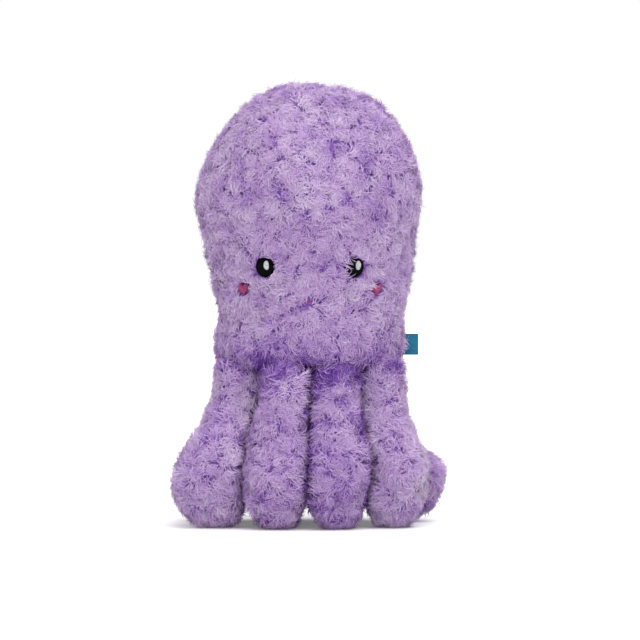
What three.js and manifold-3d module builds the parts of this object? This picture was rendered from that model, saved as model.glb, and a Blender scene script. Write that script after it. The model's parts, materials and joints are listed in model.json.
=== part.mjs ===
// A plush octopus: a stuffed head with an embroidered face, sewn onto eight stuffed tentacles.
// Millimetres, +Z up. The origin is on the floor, midway between the feet, and the face looks
// along -Y, so +X is on the right of someone who faces the toy.
import * as THREE from "three";
import { mergeVertices } from "three/addons/utils/BufferGeometryUtils.js";
import Module from "manifold-3d";

const wasm = await Module();
wasm.setup();

// Head
const TOY_HEIGHT = 398; // crown above the floor
const BASE_HEIGHT = 150; // underside of the head above the floor
const HEAD_WIDTH = 204;
const HEAD_DEPTH = 165;
const PLUSH = 9; // knitted backing with its pile
const SEAM_GAP = 0.3; // between pieces that are sewn together
const BASE_RIM = 5; // turned-in edge of the head panels around the base panel

// Outline of the head from the rim of its underside to its crown, as shares of the head's half
// width and of its height above that underside: [half width, height].
const HEAD_OUTLINE_SHARES = [
  [0.74, 0],
  [0.81, 0.02],
  [0.84, 0.075],
  [0.825, 0.17],
  [0.882, 0.29],
  [0.955, 0.45],
  [1, 0.58],
  [0.965, 0.69],
  [0.845, 0.81],
  [0.59, 0.925],
  [0.3, 0.985],
  [0, 1],
];
const CHIN_ROW = 2; // of that outline, where the chin stands out over the tentacles

// Tentacles. A root is the ball that a tentacle turns on where it is sewn to the head.
const ROOT_SET_BACK = 0.5; // of the roots inside the edge of the chin, seen from below
const ROW_GAP = 1.2; // between neighbours of the same row, and between the front and back rows
const CORNER_GAP = 6; // between an inner root and the outer one beside it
const FEET_WIDTH = 248;
const FEET_DEPTH = 170;
const FOOT_DEPTH = 58;
const OUTER_FEET_SPREAD = 9; // of the outer feet away from the middle, to the front or the back
const FOOT_RISE = 44; // widest level of a foot above the floor
const LATE_BEND = 3.5; // power that keeps the back tentacles straight until near the floor
const FLOOR_CUT = 0.5; // how far a round foot is flattened by the floor

// Edges between the feet from left to right, as shares of half the width of all the feet.
const FRONT_FEET_SHARES = [-1, -0.465, -0.02, 0.42, 0.86];
const BACK_FEET_SHARES = [-1, -0.46, 0, 0.46, 1];

// Face
const EYE_SPREAD = 81; // between the middles of the eyes
const EYE_HEIGHT = 231.2;
const EYE_WIDTH = 18;
const EYE_TALL = 18.6;
const EYE_THICKNESS = 4.4;
const GLINT_WIDTH = 4.6;
const GLINT_TALL = 8;
const GLINT_THICKNESS = 0.8;
const GLINT_ASIDE = 2.5; // from the middle of the eye, to the right
const GLINT_UP = 2;
const CHEEK_SPREAD = 120.8;
const CHEEK_HEIGHT = 211.3;
const CHEEK_WIDTH = 11.6;
const CHEEK_TALL = 11;
const CHEEK_THICKNESS = 3.8;
const MOUTH_HEIGHT = 199.4;
const MOUTH_RADIUS = 7.6;
const MOUTH_HALF_ANGLE = 54; // degrees either side of the lowest point of the smile
const MOUTH_LINE = 1.7;
const MOUTH_THICKNESS = 2.6;
const FACE_POCKET = 5; // depth of the pile around an embroidered patch
const PATCH_GAP = 0.5; // between a patch and the pile around it

// Right half of a heart as two Bezier curves, from its point up to its notch, in shares of its
// half width and half height: [control, control, end] of each curve.
const HEART_CURVE_SHARES = [
  [0.35, -0.6, 1, -0.2, 1, 0.38],
  [1, 1.12, 0.2, 1.22, 0, 0.5],
];

// Side tag, a folded ribbon in the seam of the right side
const TAG_TALL = 18.9;
const TAG_BOTTOM = 152.8;
const TAG_REACH = 14.5; // out of the head
const TAG_SEWN = 6; // inside the seam
const TAG_RIBBON = 0.6;
const TAG_FOLD = 0.5; // space between its two layers

// Mesh counts. The inside of a form is coarser than its outside.
const HEAD_SIDES = { outside: 28, inside: 14 };
const HEAD_RINGS = { outside: 15, inside: 9 };
const TENTACLE_SIDES = { outside: 12, inside: 7 };
const ROOT_RINGS = { outside: 3, inside: 2 };
const SHAFT_RINGS = { outside: 3, inside: 2 };
const FOOT_RINGS = { outside: 4, inside: 3 };
const PATCH_STEPS = 8; // along each curve of an embroidered patch
const OVERRUN = 40; // how far a cutter reaches past what it cuts

// Finishes
const PILE = { color: 0xac92c2, roughness: 0.9, metalness: 0 };
const FIBRE = { color: 0xf2f0ea, roughness: 1, metalness: 0 };
const EYE_THREAD = { color: 0x0c0b0e, roughness: 0.45, metalness: 0 };
const GLINT_THREAD = { color: 0xdfe0de, roughness: 0.45, metalness: 0 };
const CHEEK_THREAD = { color: 0xa84274, roughness: 0.45, metalness: 0 };
const MOUTH_THREAD = { color: 0x96507c, roughness: 0.45, metalness: 0 };
const RIBBON = { color: 0x1d6f92, roughness: 0.5, metalness: 0 };

// Each tentacle has a lane of its own in the front or the back row, between two edges.
const TENTACLES = [
  { name: "tentacle_1", side: -1, row: -1, outer: true, lane: 0 },
  { name: "tentacle_2", side: -1, row: -1, outer: false, lane: 1 },
  { name: "tentacle_3", side: 1, row: -1, outer: false, lane: 2 },
  { name: "tentacle_4", side: 1, row: -1, outer: true, lane: 3 },
  { name: "tentacle_5", side: 1, row: 1, outer: true, lane: 3 },
  { name: "tentacle_6", side: 1, row: 1, outer: false, lane: 2 },
  { name: "tentacle_7", side: -1, row: 1, outer: false, lane: 1 },
  { name: "tentacle_8", side: -1, row: 1, outer: true, lane: 0 },
];

const toy = new THREE.Group();

// Solids

function solid(geometry) {
  const bare = new THREE.BufferGeometry();
  bare.setAttribute("position", geometry.getAttribute("position"));
  bare.setIndex(geometry.index);
  const merged = mergeVertices(bare);
  return new wasm.Manifold(
    new wasm.Mesh({
      numProp: 3,
      vertProperties: merged.attributes.position.array,
      triVerts: new Uint32Array(merged.index.array),
    }),
  );
}

function geometryOf(body) {
  const { vertProperties, triVerts } = body.getMesh();
  const geometry = new THREE.BufferGeometry();
  geometry.setAttribute("position", new THREE.BufferAttribute(vertProperties, 3));
  geometry.setIndex(new THREE.BufferAttribute(triVerts, 1));
  return geometry;
}

function addPiece(name, body, finish) {
  const mesh = new THREE.Mesh(geometryOf(body), new THREE.MeshStandardMaterial(finish));
  mesh.name = name;
  toy.add(mesh);
}

function box(low, high) {
  const size = new THREE.Vector3().subVectors(high, low);
  const middle = new THREE.Vector3().addVectors(low, high).divideScalar(2);
  const geometry = new THREE.BoxGeometry(size.x, size.y, size.z);
  return solid(geometry.translate(middle.x, middle.y, middle.z));
}

// A closed body through level elliptical rings, listed from the top down. A ring with no width is
// a closing point, and a last ring that has one is closed flat.
function stack(rings, sides) {
  const positions = [];
  const triangles = [];
  const starts = [];
  const wide = (ring) => ring.halfWidth > 0;
  for (const ring of rings) {
    starts.push(positions.length / 3);
    const count = wide(ring) ? sides : 1;
    for (let i = 0; i < count; i++) {
      const turn = (2 * Math.PI * i) / sides;
      positions.push(ring.x + ring.halfWidth * Math.cos(turn));
      positions.push(ring.y + ring.halfDepth * Math.sin(turn), ring.z);
    }
  }
  const at = (row, i) => starts[row] + (wide(rings[row]) ? i % sides : 0);
  for (let row = 0; row + 1 < rings.length; row++) {
    for (let i = 0; i < sides; i++) {
      if (wide(rings[row + 1])) triangles.push(at(row, i), at(row + 1, i), at(row + 1, i + 1));
      if (wide(rings[row])) triangles.push(at(row, i), at(row + 1, i + 1), at(row, i + 1));
    }
  }
  const last = rings.length - 1;
  if (wide(rings[last])) {
    const { x, y, z } = rings[last];
    const centre = positions.length / 3;
    positions.push(x, y, z);
    for (let i = 0; i < sides; i++) triangles.push(centre, at(last, i + 1), at(last, i));
  }
  const geometry = new THREE.BufferGeometry();
  geometry.setAttribute("position", new THREE.Float32BufferAttribute(positions, 3));
  geometry.setIndex(triangles);
  return solid(geometry);
}

// Head

// The head's outline as points of half width and height, drawn in by inset on every side.
function headOutline(inset, rings) {
  const halfWidth = HEAD_WIDTH / 2 - inset;
  const low = BASE_HEIGHT + inset;
  const high = TOY_HEIGHT - inset;
  const marks = HEAD_OUTLINE_SHARES.map(
    ([width, rise]) => new THREE.Vector2(width * halfWidth, THREE.MathUtils.lerp(low, high, rise)),
  );
  const points = new THREE.SplineCurve(marks).getSpacedPoints(rings);
  points[rings].x = 0;
  return points;
}

function headForm(inset, layer) {
  const depthShare = (HEAD_DEPTH / 2 - inset) / (HEAD_WIDTH / 2 - inset);
  const rings = headOutline(inset, HEAD_RINGS[layer])
    .reverse()
    .map(({ x, y }) => ({ x: 0, y: 0, z: y, halfWidth: x, halfDepth: x * depthShare }));
  return stack(rings, HEAD_SIDES[layer]);
}

// Half width of the head's outside at a height, and how fast it grows upwards.
function headSide(z) {
  const points = headOutline(0, HEAD_RINGS.outside);
  const above = points.findIndex((point) => point.y > z);
  const [a, b] = [points[above - 1], points[above]];
  const slope = (b.x - a.x) / (b.y - a.y);
  return { halfWidth: a.x + slope * (z - a.y), slope };
}

// The plate on the underside that the roots are sewn to.
function basePlate(grow, low, high) {
  const [rimShare] = HEAD_OUTLINE_SHARES[0];
  const halfWidth = (rimShare * HEAD_WIDTH) / 2 - BASE_RIM + grow;
  const halfDepth = (rimShare * HEAD_DEPTH) / 2 - BASE_RIM + grow;
  const plate = new THREE.CylinderGeometry(1, 1, high - low, HEAD_SIDES.outside);
  plate.rotateX(Math.PI / 2).scale(halfWidth, halfDepth, 1);
  return solid(plate.translate(0, 0, (low + high) / 2));
}

// Face

// Where something drawn in X and Y, with its thickness along Z, stands on the front of the head.
// Its back lies sunk millimetres under the surface.
function onFace(x, z, sunk) {
  const { halfWidth, slope } = headSide(z);
  const depthShare = HEAD_DEPTH / HEAD_WIDTH;
  const y = -depthShare * Math.sqrt(halfWidth ** 2 - x ** 2);
  const out = new THREE.Vector3(x, y / depthShare ** 2, -slope * halfWidth).normalize();
  const across = new THREE.Vector3(0, 0, 1).cross(out).normalize();
  const up = new THREE.Vector3().crossVectors(out, across);
  const place = new THREE.Matrix4().makeBasis(across, up, out);
  return place.setPosition(new THREE.Vector3(x, y, z).addScaledVector(out, -sunk));
}

function ovalShape(width, tall, grow) {
  return new THREE.Shape().absellipse(0, 0, width / 2 + grow, tall / 2 + grow, 0, 2 * Math.PI);
}

function heartShape(width, tall, grow) {
  const flank = new THREE.Path().moveTo(0, -1);
  for (const curve of HEART_CURVE_SHARES) flank.bezierCurveTo(...curve);
  const right = flank.getPoints(PATCH_STEPS);
  const left = right.slice(1, -1).reverse();
  const size = new THREE.Vector2(width / 2 + grow, tall / 2 + grow);
  const mirror = new THREE.Vector2(-1, 1);
  const outline = [...right, ...left.map((point) => point.clone().multiply(mirror))];
  return new THREE.Shape(outline.map((point) => point.clone().multiply(size)));
}

// A smile, as a curved band with its lowest point at the origin.
function smileShape(grow) {
  const half = MOUTH_LINE / 2 + grow;
  const spread = THREE.MathUtils.degToRad(MOUTH_HALF_ANGLE) + grow / MOUTH_RADIUS;
  const [from, to] = [-Math.PI / 2 - spread, -Math.PI / 2 + spread];
  const shape = new THREE.Shape();
  shape.absarc(0, MOUTH_RADIUS, MOUTH_RADIUS + half, from, to, false);
  shape.absarc(0, MOUTH_RADIUS, MOUTH_RADIUS - half, to, from, true);
  return shape;
}

function prism(shape, thickness, place) {
  const settings = { depth: thickness, bevelEnabled: false, curveSegments: PATCH_STEPS };
  return solid(new THREE.ExtrudeGeometry(shape, settings).applyMatrix4(place));
}

const SIDES = [
  { word: "left", sign: -1 },
  { word: "right", sign: 1 },
];

const eyes = SIDES.map(({ word, sign }) => ({
  name: `eye_${word}`,
  x: (sign * EYE_SPREAD) / 2,
  z: EYE_HEIGHT,
  thickness: EYE_THICKNESS,
  finish: EYE_THREAD,
  shape: (grow) => ovalShape(EYE_WIDTH, EYE_TALL, grow),
}));
const cheeks = SIDES.map(({ word, sign }) => ({
  name: `cheek_${word}`,
  x: (sign * CHEEK_SPREAD) / 2,
  z: CHEEK_HEIGHT,
  thickness: CHEEK_THICKNESS,
  finish: CHEEK_THREAD,
  shape: (grow) => heartShape(CHEEK_WIDTH, CHEEK_TALL, grow),
}));
const mouth = {
  name: "mouth",
  x: 0,
  z: MOUTH_HEIGHT,
  thickness: MOUTH_THICKNESS,
  finish: MOUTH_THREAD,
  shape: smileShape,
};
const facePatches = [...eyes, ...cheeks, mouth];

function facePocket({ x, z, shape }) {
  return prism(shape(PATCH_GAP), FACE_POCKET + OVERRUN, onFace(x, z, FACE_POCKET));
}

function addFace() {
  for (const patch of facePatches) {
    const place = onFace(patch.x, patch.z, FACE_POCKET - SEAM_GAP);
    addPiece(patch.name, prism(patch.shape(0), patch.thickness, place), patch.finish);
  }
  for (const { word, sign } of SIDES) {
    const sunk = FACE_POCKET - 2 * SEAM_GAP - EYE_THICKNESS;
    const place = onFace((sign * EYE_SPREAD) / 2, EYE_HEIGHT, sunk);
    place.multiply(new THREE.Matrix4().makeTranslation(GLINT_ASIDE, GLINT_UP, 0));
    const glint = prism(ovalShape(GLINT_WIDTH, GLINT_TALL, 0), GLINT_THICKNESS, place);
    addPiece(`eye_glint_${word}`, glint, GLINT_THREAD);
  }
}

// Side tag

const tagHalf = TAG_RIBBON + TAG_FOLD / 2;
const tagSeam = headSide(TAG_BOTTOM + TAG_TALL / 2).halfWidth;
const tagRoot = tagSeam - TAG_SEWN;
const tagTip = tagSeam + TAG_REACH;

function tagSlot() {
  const half = tagHalf + SEAM_GAP;
  const low = new THREE.Vector3(tagRoot - SEAM_GAP, -half, TAG_BOTTOM - SEAM_GAP);
  const high = new THREE.Vector3(tagTip + OVERRUN, half, TAG_BOTTOM + TAG_TALL + SEAM_GAP);
  return box(low, high);
}

// The ribbon's edge seen from above: two layers that meet in a round fold at the tip.
function addTag() {
  const inside = TAG_FOLD / 2;
  const bend = tagTip - tagHalf;
  const edge = new THREE.Shape();
  edge.moveTo(tagRoot, -tagHalf);
  edge.lineTo(bend, -tagHalf);
  edge.absarc(bend, 0, tagHalf, -Math.PI / 2, Math.PI / 2, false);
  edge.lineTo(tagRoot, tagHalf);
  edge.lineTo(tagRoot, inside);
  edge.lineTo(bend, inside);
  edge.absarc(bend, 0, inside, Math.PI / 2, -Math.PI / 2, true);
  edge.lineTo(tagRoot, -inside);
  const place = new THREE.Matrix4().makeTranslation(0, 0, TAG_BOTTOM);
  addPiece("side_tag", prism(edge, TAG_TALL, place), RIBBON);
}

// The head's panels are its plush shell, cut along the side seams and the seam down the back.
function addHead() {
  const reach = HEAD_WIDTH + OVERRUN;
  const half = SEAM_GAP / 2;
  const top = TOY_HEIGHT + OVERRUN;
  const plateTop = BASE_HEIGHT + PLUSH;
  const front = box(new THREE.Vector3(-reach, -reach, 0), new THREE.Vector3(reach, -half, top));
  const left = box(new THREE.Vector3(-reach, half, 0), new THREE.Vector3(-half, reach, top));
  const right = box(new THREE.Vector3(half, half, 0), new THREE.Vector3(reach, reach, top));
  const opening = basePlate(SEAM_GAP, BASE_HEIGHT - OVERRUN, plateTop + SEAM_GAP);
  const sleeve = headForm(0, "outside").subtract(headForm(PLUSH, "inside"));
  const shell = sleeve.subtract(opening).subtract(tagSlot());
  let frontPanel = shell.intersect(front);
  for (const patch of facePatches) frontPanel = frontPanel.subtract(facePocket(patch));
  addPiece("head_front_panel", frontPanel, PILE);
  addPiece("head_back_left_panel", shell.intersect(left), PILE);
  addPiece("head_back_right_panel", shell.intersect(right), PILE);
  addPiece("base_panel", basePlate(0, BASE_HEIGHT, plateTop), PILE);
  addPiece("head_stuffing", headForm(PLUSH + SEAM_GAP, "inside"), FIBRE);
}

// Tentacles

// The largest root that lets four of them lie in each row under the chin: the inner ones side by
// side at the front of the chin, the outer ones at its sides, and CORNER_GAP between the two.
function fittedRootRadius(halfWidth, halfDepth) {
  const sum = halfWidth + halfDepth + CORNER_GAP;
  const squares = halfWidth ** 2 + halfDepth ** 2 - CORNER_GAP ** 2;
  return (sum - Math.sqrt(sum ** 2 - squares)) / 2;
}

const [chinShare] = HEAD_OUTLINE_SHARES[CHIN_ROW];
const chinHalfWidth = (chinShare * HEAD_WIDTH) / 2 - ROOT_SET_BACK;
const chinHalfDepth = (chinShare * HEAD_DEPTH) / 2 - ROOT_SET_BACK;
const halfGap = ROW_GAP / 2;
const rootRadius = fittedRootRadius(chinHalfWidth - halfGap, chinHalfDepth - halfGap);
const pivotHeight = BASE_HEIGHT - SEAM_GAP - rootRadius;
const smooth = (share) => share * share * (3 - 2 * share);

function rootOf({ side, row, outer }) {
  const x = outer ? chinHalfWidth - rootRadius : rootRadius + halfGap;
  const y = outer ? rootRadius + halfGap : chinHalfDepth - rootRadius;
  return new THREE.Vector3(side * x, row * y, pivotHeight);
}

// Middle of a foot at its widest level, and its half width there.
function footOf({ row, outer, lane }) {
  const edges = (row < 0 ? FRONT_FEET_SHARES : BACK_FEET_SHARES).slice(lane, lane + 2);
  const [left, right] = edges.map((share) => (share * FEET_WIDTH) / 2);
  const outerY = halfGap + FOOT_DEPTH / 2 + OUTER_FEET_SPREAD;
  const y = outer ? outerY : (FEET_DEPTH - FOOT_DEPTH) / 2;
  const middle = new THREE.Vector3((left + right) / 2, row * y, FOOT_RISE);
  return { middle, halfWidth: (right - left) / 2 - halfGap };
}

// A tentacle drawn in by inset on every side: a ball at the root, a shaft that swells and leans
// out to the foot, and a round end that the floor flattens.
function tentacleForm(tentacle, inset, layer) {
  const root = rootOf(tentacle);
  const foot = footOf(tentacle);
  const ball = rootRadius - inset;
  const footWidth = foot.halfWidth - inset;
  const footDepth = FOOT_DEPTH / 2 - inset;
  const power = tentacle.row > 0 ? LATE_BEND : 1;
  const rings = [{ x: root.x, y: root.y, z: root.z + ball, halfWidth: 0, halfDepth: 0 }];
  for (let i = 1; i <= ROOT_RINGS[layer]; i++) {
    const angle = (Math.PI / 2) * (i / ROOT_RINGS[layer]);
    const radius = ball * Math.sin(angle);
    const z = root.z + ball * Math.cos(angle);
    rings.push({ x: root.x, y: root.y, z, halfWidth: radius, halfDepth: radius });
  }
  for (let i = 1; i <= SHAFT_RINGS[layer]; i++) {
    const share = i / SHAFT_RINGS[layer];
    const bend = smooth(share) ** power;
    const middle = new THREE.Vector3().lerpVectors(root, foot.middle, bend);
    rings.push({
      x: middle.x,
      y: middle.y,
      z: THREE.MathUtils.lerp(root.z, FOOT_RISE, share),
      halfWidth: THREE.MathUtils.lerp(ball, footWidth, bend),
      halfDepth: THREE.MathUtils.lerp(ball, footDepth, bend),
    });
  }
  const drop = FOOT_RISE + FLOOR_CUT - inset;
  const meetsFloor = drop > FOOT_RISE;
  const lowest = meetsFloor ? Math.asin(FOOT_RISE / drop) : Math.PI / 2;
  for (let i = 1; i <= FOOT_RINGS[layer]; i++) {
    const angle = lowest * (i / FOOT_RINGS[layer]);
    const closed = i === FOOT_RINGS[layer] && !meetsFloor;
    rings.push({
      x: foot.middle.x,
      y: foot.middle.y,
      z: FOOT_RISE - drop * Math.sin(angle),
      halfWidth: closed ? 0 : footWidth * Math.cos(angle),
      halfDepth: closed ? 0 : footDepth * Math.cos(angle),
    });
  }
  return stack(rings, TENTACLE_SIDES[layer]);
}

// Everything on the outward side of a tentacle's side seams, or on the inward side with away -1.
// The cut runs through the middle of the root and of the foot.
function seamHalf(tentacle, away) {
  const root = rootOf(tentacle);
  const { middle } = footOf(tentacle);
  const shaft = new THREE.Vector3().subVectors(root, middle).normalize();
  const out = new THREE.Vector3(middle.x, middle.y, 0).normalize();
  const across = new THREE.Vector3().crossVectors(out, shaft).normalize();
  const facing = new THREE.Vector3().crossVectors(shaft, across);
  const reach = BASE_HEIGHT + OVERRUN;
  const centre = new THREE.Vector3().lerpVectors(root, middle, 0.5);
  centre.addScaledVector(facing, (away * (reach + SEAM_GAP)) / 2);
  const place = new THREE.Matrix4().makeBasis(across, facing, shaft).setPosition(centre);
  return solid(new THREE.BoxGeometry(2 * reach, reach, 2 * reach).applyMatrix4(place));
}

function addTentacle(tentacle) {
  const lining = tentacleForm(tentacle, PLUSH, "inside");
  const sleeve = tentacleForm(tentacle, 0, "outside").subtract(lining);
  const outer = sleeve.intersect(seamHalf(tentacle, 1));
  const inner = sleeve.intersect(seamHalf(tentacle, -1));
  addPiece(`${tentacle.name}_outer_panel`, outer, PILE);
  addPiece(`${tentacle.name}_inner_panel`, inner, PILE);
  const stuffing = tentacleForm(tentacle, PLUSH + SEAM_GAP, "inside");
  addPiece(`${tentacle.name}_stuffing`, stuffing, FIBRE);
}

addHead();
addFace();
addTag();
TENTACLES.forEach(addTentacle);

export default toy;
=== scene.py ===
"""The looks of a plush octopus in long curly pile, in metres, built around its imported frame."""

import json
import math

import bmesh
import bpy
import numpy as np
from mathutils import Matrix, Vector, kdtree


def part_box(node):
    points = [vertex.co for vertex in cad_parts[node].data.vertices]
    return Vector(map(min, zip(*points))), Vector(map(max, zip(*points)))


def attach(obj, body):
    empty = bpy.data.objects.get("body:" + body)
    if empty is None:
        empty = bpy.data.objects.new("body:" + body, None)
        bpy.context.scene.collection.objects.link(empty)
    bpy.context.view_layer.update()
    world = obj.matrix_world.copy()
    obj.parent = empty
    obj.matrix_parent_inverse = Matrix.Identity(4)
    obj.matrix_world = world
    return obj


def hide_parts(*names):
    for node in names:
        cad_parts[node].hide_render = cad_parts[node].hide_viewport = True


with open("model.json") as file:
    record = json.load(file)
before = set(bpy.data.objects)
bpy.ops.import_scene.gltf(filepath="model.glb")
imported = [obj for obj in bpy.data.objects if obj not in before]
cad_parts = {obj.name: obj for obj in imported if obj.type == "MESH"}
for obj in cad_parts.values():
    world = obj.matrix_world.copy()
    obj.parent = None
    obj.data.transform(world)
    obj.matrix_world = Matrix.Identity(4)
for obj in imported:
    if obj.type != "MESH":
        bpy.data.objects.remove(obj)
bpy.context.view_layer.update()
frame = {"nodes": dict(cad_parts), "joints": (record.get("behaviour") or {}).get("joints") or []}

# Head. Its outline runs from the rim of the underside to the crown, as shares of the half width
# and of the height above the underside: [half width, height].
HEAD_OUTLINE_SHARES = [
    [0.74, 0],
    [0.805, 0.02],
    [0.825, 0.075],
    [0.82, 0.17],
    [0.88, 0.29],
    [0.955, 0.45],
    [1, 0.58],
    [0.965, 0.69],
    [0.845, 0.81],
    [0.59, 0.925],
    [0.3, 0.985],
    [0, 1],
]
HEAD_PANELS = ["head_front_panel", "head_back_left_panel", "head_back_right_panel"]
HEAD_ROWS = 56
HEAD_COLUMNS = 96  # a multiple of four, so that the seams fall on columns

CHIN_REACH = 0.03  # height of the band above the underside in which the pile hangs over
RIM_SHARE = HEAD_OUTLINE_SHARES[0][0]

# Tentacles
FOOT_RISE = 0.044  # widest level of a foot above the floor
CROSS_SQUARENESS = 3.1  # 2 is an ellipse, and more is squarer
FOOT_SQUARENESS = 2.15
ROOT_SQUARENESS = 3
FOOT_TUCK = 0.08  # how far in a sole lies from under its foot, as a share of its distance out
SIDE_PRESS = 0.0025  # how far a tentacle's skin comes closer to the one beside it
LATE_BEND = 4.5  # of the ones behind, which spread only near the floor
LATE_SWELL = 1.6  # of the width of all, which grows after they spread
BALL_ROWS = 8
SHAFT_ROWS = 20
FOOT_ROWS = 12
TENTACLE_COLUMNS = 48

# Stuffing. The skins are simulated as cloth that the stuffing presses out.
CLOTH_FRAMES = 20
CLOTH_SETTINGS = {
    "quality": 6,
    "mass": 0.003,  # of each point
    "tension_stiffness": 0.3,
    "compression_stiffness": 0.3,
    "shear_stiffness": 0.3,
    "bending_stiffness": 0.2,
    "use_pressure": True,
    "uniform_pressure_force": 4,
}
SWELL = 0.0006  # of a skin, for which it starts smaller
MOST_SWELL = 0.004  # of any point
CREASE_PASSES = 16  # of the evening out that leaves no small creases
SOLE_HEIGHT = 0.006  # of what the floor holds
SEAM_HOLD = 0.35  # how firmly a seam is held back, where 1 is still
SEWN_HEIGHT = 0.008  # of what is held where a tentacle is sewn to the head

# Pile
PILE_DEPTH = 0.006  # from the backing up to the mean height of the pile
BACKING_LIFT = 0.0025  # of the backing above the floor, where the feet press the pile flat
BACKING_THICKNESS = 0.0012
SEWN_GAP = 0.0005  # between the head's underside and a tentacle sewn to it

# Lumps of the stuffing under the backing, and the seams that draw it in
HEAD_LUMPS = {"rise": 0.0018, "size": 0.05, "seed": 96}
LIMB_LUMPS = {"rise": 0.0013, "size": 0.045, "seed": 3}
LUMP_WAVES = 9  # that add up to the lumps
LUMP_WAVE_SIZES = (0.7, 1.6)  # as shares of their size
SEAM_PULL = 0.0015  # how far a seam draws the backing in
SEAM_REACH = 0.004

# Strands
STRAND_MARKS = 4  # points along a strand
STRAND_RADIUS = 0.00032
STRAND_WIDTHS = [0.8, 1, 0.75, 0]  # at those points, as shares of the radius
STRANDS_PER_M2 = 950_000
TUFT_SPACING = 0.0066
MOST_STRANDS = 12_000  # in one piece
FLOOR_GAP = 0.0002
HALF_STRAND_MAP = 0.0015  # half width of a strand in the map
SOFT_SHARE = 0.7  # how much a strand is lit as the surface that it grows from
GUARD_SHARE = 0.22  # strands that stand over the others, longer and paler
GUARD_GROWTH = 0.1
GUARD_TONE = 0.1
CHIN_HANG = 2.2  # how much more the strands of the chin hang
CHIN_GROWTH = 0.4  # how much longer they are, as a share
ROOT_TILT = math.radians(18)  # of a strand at its root
ROOT_TILT_RANGE = 0.18
TIP_TILT_RANGE = 0.22
TUFT_TILT = math.radians(36)  # range of the tilt at the tip from tuft to tuft
TUFT_LENGTHS = (0.8, 1.2)  # shortest and longest tuft, as shares of the length
LENGTH_RANGE = 0.1
ANY_SIDE = (0.31, 0.17, 0.93)  # a direction that hardly any root points in

# Strands of each part. They hang down, fan out of their tuft and stray from it, curl by up to so
# many radians, and tilt by so many degrees at the tip.
# Their tones are a little deeper on the tentacles and much deeper under the head, as painted shade on the
# lower parts.
HEAD_PILE = {"length": 0.0105, "hang": 0.25, "fan": 0, "stray": 0.5, "curl": 2, "tilt": 100, "tone": 0.44}
LIMB_PILE = {"length": 0.0112, "hang": 0.5, "fan": 0, "stray": 0.5, "curl": 2, "tilt": 95, "tone": 0.42}
BASE_PILE = {"length": 0.014, "hang": 0, "fan": 0.6, "stray": 0.5, "curl": 0.6, "tilt": 40, "tone": 0.2}
ROOT_CLEARANCE = 0.004  # of the base panel's strands inside the edge of a tentacle's root
BASE_RINGS = 5  # of the base panel, from its middle to its edge

# Tone, where 0 is deep and 1 is pale
TONES = [
    (0, (80, 36, 132)),
    (0.14, (134, 90, 178)),
    (0.3, (190, 156, 213)),
    (0.55, (212, 186, 226)),
    (0.8, (232, 214, 238)),
    (1, (246, 238, 246)),
]
TONE_LIMITS = (0.02, 0.98)  # that keep each strand on the map
# Painted shade deep in the pile: the colour that each strand darkens to at its root
ROOT_PAINTED_SHADE = (130, 78, 182)
TONE_WAVES = {0.06: 0.05, 0.02: 0.065}  # size of the paler and deeper places, and how much
TONE_SEED = 3
# Painted shade about the level of the head's underside, under the chin and at the tops of the tentacles
UNDERSIDE_PAINTED_SHADE = 0.3  # how much deeper the tone is where the tentacles meet the head
UNDERSIDE_PAINTED_SHADE_REACH = 0.013
# Painted shade in the grooves between tentacles, and painted light on the free side of an outer one
GROOVE_PAINTED_SHADE = 0.19  # how much deeper the tone is between two tentacles
GROOVE_FACING = (0.72, 1)  # how far sideways the skin turns where that starts and is full
FREE_SIDE_PAINTED_LIGHT = 0.1  # how much paler the tone is on the free side of an outer tentacle
LIMB_TONES = {"tentacle_1": 0.03, "tentacle_3": -0.1, "tentacle_4": 0.03}  # how much paler
TUFT_TONE = 0.29  # range of tone from tuft to tuft
STRAND_TONE = 0.06  # how much single strands differ in tone
STRAND_CURL = 0.9  # how much single strands differ in curl

# The other colours, each from deep to pale
BACKING_COLOURS = ((122, 80, 168), (150, 106, 194))
STUFFING_COLOURS = ((214, 210, 202), (246, 244, 240))
RIBBON_COLOURS = ((2, 94, 126), (12, 116, 148))

# Threads: their colours, and how much they shine
THREADS = {
    "eye_thread": ((2, 2, 4), (8, 7, 11), 0.06),
    "glint_thread": ((168, 170, 172), (206, 208, 208), 0.3),
    "cheek_thread": ((128, 42, 92), (164, 70, 118), 0.2),
    "mouth_thread": ((142, 72, 120), (178, 104, 150), 0.2),
}

# Face, on the front of the head. Places are from the toy's middle and from the floor.
EYE_SPREAD = 0.081
EYE_HEIGHT = 0.2312
EYE_SIZE = (0.018, 0.0186)
EYE_THICKNESS = 0.0044
GLINT_SIZE = (0.0046, 0.008)
GLINT_PLACE = (0.0025, 0.002)  # from the middle of the eye, to the right and up
CHEEK_SPREAD = 0.1208
CHEEK_HEIGHT = 0.2113
CHEEK_SIZE = (0.0116, 0.011)
CHEEK_THICKNESS = 0.0038
MOUTH_HEIGHT = 0.1994
MOUTH_RADIUS = 0.0076
MOUTH_HALF_ANGLE = math.radians(54)
MOUTH_PLY_RADIUS = 0.00048
MOUTH_TWISTS = 9  # turns of one thread round the other
TWIST_MARKS = 8  # points along each
FACE_POCKET = 0.0047  # depth of the back of a patch under the mean height of the pile
THREAD_RADIUS = 0.00032
THREAD_PITCH = 0.00047
THREAD_SIDES = 5
ANY_OTHER_SIDE = (0.21, 0.36, 0.91)  # a direction that no thread runs in
THREAD_MARKS = 9
THREAD_WANDER = 0.12  # of a thread from its place, as a share of the pitch
OUTLINE_POINTS = 72
GLINT_THICKNESS = 0.0008
MOUTH_THICKNESS = 0.0026
MOUTH_CLEAR = 0.0013  # bare either side of the mouth's line
PATCH_EDGE = -0.0006  # how far the bare place reaches past an eye's threads
PATCH_BEHIND = 0.012  # how deep behind a patch its pile still parts
PATCH_REACH = 0.0075  # how far around a patch its pile is combed
PATCH_CURL = 0.35  # share of their curl that combed strands keep
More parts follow.
